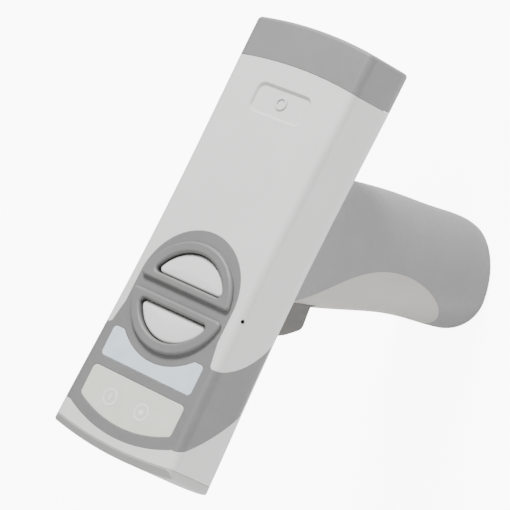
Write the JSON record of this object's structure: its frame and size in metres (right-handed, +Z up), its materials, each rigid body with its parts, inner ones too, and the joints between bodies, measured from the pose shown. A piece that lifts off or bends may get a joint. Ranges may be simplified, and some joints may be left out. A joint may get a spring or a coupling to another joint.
{
  "type": "microchip scanner",
  "caption": "Pistol-grip handheld microchip scanner with a box-shaped head, two thumb buttons, a status light, a rubber grip and a trigger.",
  "frame": {"origin": "centre of the flat base under the handle, on the surface the scanner stands on", "axes": "+X towards the read end, +Y towards the device's left side, +Z up along the handle; the head points 12 degrees above +X"},
  "size_m": [0.1381, 0.0466, 0.1464],
  "materials": {
    "shell_white": "fine satin moulded plastic",
    "cap_grey": "matte soft rubber",
    "bezel_grey": "matte soft overmould",
    "grip_grey": "matte soft rubber grip",
    "key_white": "satin moulded plastic",
    "lens_blue": "frosted translucent plastic",
    "label_beige": "smooth plastic window",
    "front_grey": "satin moulded plastic",
    "trigger_dark": "satin dark plastic",
    "steel": "plain steel",
    "gold": "gold plate",
    "board_green": "solder mask",
    "chip_black": "moulded epoxy",
    "copper": "enamelled copper winding",
    "ferrite": "sintered ferrite",
    "silicone": "silicone rubber",
    "clear": "clear moulded plastic",
    "ribbon_amber": "polyimide film",
    "cell_wrap": "shrink wrap over the can"
  },
  "bodies": {
    "body": {"top_shell": "shell_white", "belly_shell": "shell_white", "rear_cap": "cap_grey", "front_cover": "front_grey", "front_gasket": "silicone", "keypad_bezel": "bezel_grey", "keypad_membrane": "silicone", "switch_domes": "steel", "status_lens": "lens_blue", "light_guide": "clear", "status_leds": "clear", "label_window": "label_beige", "main_board": "board_green", "board_screws": "steel", "radio_shield": "steel", "controller_chip": "chip_black", "buzzer": "chip_black", "ribbon_connector": "chip_black", "ferrite_core": "ferrite", "antenna_bobbin": "chip_black", "antenna_coil": "copper", "belly_screws": "steel", "neck_screws": "steel", "handle_frame_left": "shell_white", "handle_frame_right": "shell_white", "frame_screws": "steel", "grip_sleeve": "grip_grey", "base_plate": "grip_grey", "base_screws": "steel", "charge_contacts": "gold", "battery": "cell_wrap", "lower_battery_contact": "gold", "upper_battery_contact": "gold", "trigger_pin": "steel", "trigger_board": "board_green", "trigger_switch": "chip_black", "handle_ribbon": "ribbon_amber"},
    "rear_button": {"rear_button": "key_white"},
    "front_button": {"front_button": "key_white"},
    "trigger": {"trigger": "trigger_dark", "trigger_spring": "steel"}
  },
  "joints": [
    {"name": "rear_button_press", "type": "slide", "parent": "body", "child": "rear_button", "axis": [0.2079, 0, -0.9781], "range_m": [0, 0.0008], "stiffness_N_per_m": 1200, "springref_m": -0.0006},
    {"name": "front_button_press", "type": "slide", "parent": "body", "child": "front_button", "axis": [0.2079, 0, -0.9781], "range_m": [0, 0.0008], "stiffness_N_per_m": 1200, "springref_m": -0.0006},
    {"name": "trigger_pull", "type": "hinge", "parent": "body", "child": "trigger", "pos_m": [0.0125, 0, 0.1015], "axis": [0, 1, 0], "range_deg": [0, 7], "stiffness_Nm_per_rad": 0.25, "springref_deg": -5.73}
  ]
}
